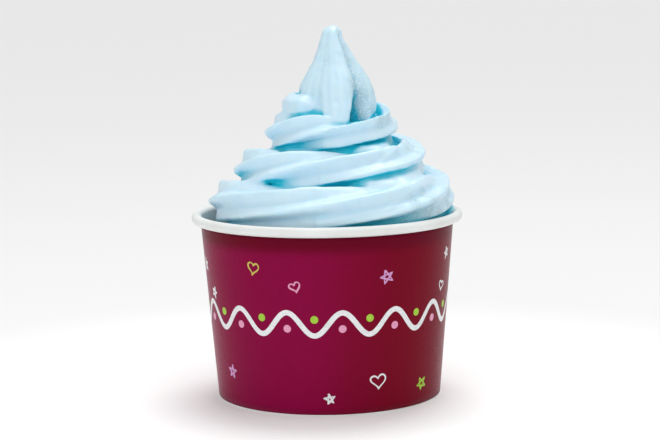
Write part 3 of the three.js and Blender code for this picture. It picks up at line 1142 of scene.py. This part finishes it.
def figureList():
    rows = list(figures["front"])
    random.seed(figures["seed"])
    apart = figures["backSpan"] / figures["backCount"]
    for i in range(figures["backCount"]):
        azimuth = figures["backFrom"] + (i + random.uniform(0.2, 0.8)) * apart
        height = random.uniform(*figures["upperRow" if i % 2 == 0 else "lowerRow"])
        shape = "heart" if random.random() < figures["hearts"] else "star"
        width, tilt = random.uniform(*figures["widths"]), random.uniform(*figures["tilts"])
        ink = figures["inks"][i % len(figures["inks"])]
        rows.append((shape, azimuth, height, width, tilt, ink))
    return rows


def waveMesh(settings):
    verts = []
    around = np.linspace(0, 2 * math.pi, settings["steps"], endpoint=False)
    middle = wallOutside(settings["height"] * mm) / mm
    slopes = settings["swing"] * settings["waves"] * np.cos(settings["waves"] * around) / middle
    heights = settings["height"] + settings["swing"] * np.sin(settings["waves"] * around)
    for azimuth, height, slope in zip(around, heights, slopes):
        side = np.array([-slope, 1]) / math.hypot(1, slope) * settings["stroke"] / 2
        for offset, rise in strokeSection(side, -side):
            verts.append(onPrint(azimuth + offset[0] / middle, height + offset[1], rise))
    return np.array(verts), strokeFaces(len(around), True)


def makeFigures(inkMaterials):
    parts = {name: [] for name in inks}
    for index, (shape, azimuth, height, size, tilt, ink) in enumerate(figureList()):
        path, closed = heartPath() if shape == "heart" else starPath()
        turn = math.radians(tilt)
        spin = np.array([[math.cos(turn), math.sin(turn)], [-math.sin(turn), math.cos(turn)]])
        random.seed(100 + index)
        stray = np.array([[random.uniform(-1, 1) for _ in range(2)] for _ in range(2)])
        along = np.linspace(0, 2 * math.pi, len(path))
        stray = np.sin(along)[:, None] * stray[0] + np.sin(2 * along)[:, None] * stray[1]
        path = (path + figures["unsteady"] * stray) @ spin * size
        width = figures["stroke"] * (1 + figures["unevenStroke"] * np.sin(3 * along + index))
        parts[ink].append(strokeMesh(path, width, closed, (math.radians(azimuth), height)))
    for i in range(2 * garland["waves"]):
        azimuth = (i + 0.5) * math.pi / garland["waves"]
        ink, side = ("pink", -1) if i % 2 == 0 else ("lime", 1)
        height = garland["height"] + garland["swing"] * garland["dotPlace"] * side
        parts[ink].append(discMesh((azimuth, height), garland["dot"]))
    parts["white"].append(waveMesh(garland))
    for ink, strokes in parts.items():
        newPiece("figures." + ink, *joinMeshes(strokes), inkMaterials[ink], "printed_paper", False)
    print("figures made")


# floor, lights and sky

studio = {
    "floor": 14,                     # metres, radius
    # painted pool of light: the floor is paler near the middle; from the middle outwards: distance
    # in metres, shade
    "lightPool": [(0.12, 0.97), (0.25, 0.83), (0.6, 0.83)],
    "sky": 0.58,
    # light from above and behind, so that the shadow falls a little forwards
    "topAzimuth": 78,                # degrees anticlockwise from the right: at the back
    "topHeight": 68,
    "topPower": 1.35,
    "topSpread": 32,
    # panels of light: place, what they look at, width and height in metres, and power
    "panels": {
        "overheadLight": ((0.24, -0.3, 1.08), (0, 0, 0), (0.8, 0.8), 2.3),
        "frontLight": ((-0.4, -1.13, 0.65), (0, 0, 0.08), (1.3, 0.7), 3.5),
    },
}


def aim(light, place, target):
    light.location = place
    light.rotation_mode = "QUATERNION"
    light.rotation_quaternion = (Vector(target) - Vector(place)).to_track_quat("-Z", "Y")


def makeFloor(settings):
    around = 96
    rings = [0.15, 0.5, 1.5, 4, settings["floor"]]
    verts, faces = [(0, 0, 0)], []
    for radius in rings:
        verts += [(radius * math.cos(a), radius * math.sin(a), 0)
                  for a in np.linspace(0, 2 * math.pi, around, endpoint=False)]
    faces += [(0, 1 + i, 1 + (i + 1) % around) for i in range(around)]
    for r in range(len(rings) - 1):
        first, second = 1 + r * around, 1 + (r + 1) * around
        faces += [(first + i, second + i, second + (i + 1) % around, first + (i + 1) % around)
                  for i in range(around)]
    mesh = bpy.data.meshes.new("floor")
    mesh.from_pydata(verts, [], faces)
    floor = newObject("floor", mesh)
    material, tree, shader = newMaterial("pale floor", Roughness=0.8, Specular_IOR_Level=0.2)
    point = objectPoint(tree)
    away = addNode(tree, "ShaderNodeVectorMath", operation="LENGTH")
    tree.links.new(point, away.inputs[0])
    away = plus(tree, away.outputs["Value"], times(tree, noise(tree, point, 3, 2), 0.02))
    # painted pool of light: paler near the middle, greyer further off
    lightPool = [(distance, grey(value)) for distance, value in settings["lightPool"]]
    connect(tree, shader, ramp(tree, away, lightPool, True))
    mesh.materials.append(material)


def makeLights(settings):
    world = bpy.data.worlds.new("studio")
    world.use_nodes = True
    sky = world.node_tree.nodes["Background"]
    sky.inputs["Color"].default_value = (*grey(settings["sky"]), 1)
    sky.inputs["Strength"].default_value = 1.0
    bpy.context.scene.world = world
    data = bpy.data.lights.new("topLight", "SUN")
    data.energy, data.angle = settings["topPower"], math.radians(settings["topSpread"])
    turn, rise = math.radians(settings["topAzimuth"]), math.radians(settings["topHeight"])
    flat = math.cos(rise)
    place = Vector((math.cos(turn) * flat, math.sin(turn) * flat, math.sin(rise))) * 2
    aim(newObject("topLight", data), place, (0, 0, 0))
    for name, (place, target, size, power) in settings["panels"].items():
        data = bpy.data.lights.new(name, "AREA")
        data.shape = "RECTANGLE"
        data.size, data.size_y = size
        data.energy = power
        aim(newObject(name, data), place, target)
    view = bpy.context.scene.view_settings
    view.view_transform = "Standard"
    view.look = "None"
    print("studio ready")


# the whole thing

white = whitePaper(paperFinish)
makeCup(white, printedPaper(printFinish))
makeBase(white)
makeFigures({name: inkMaterial("ink " + name, colour) for name, colour in inks.items()})
makeSwirl(yoghurt(yoghurtFinish))
makeFloor(studio)
makeLights(studio)
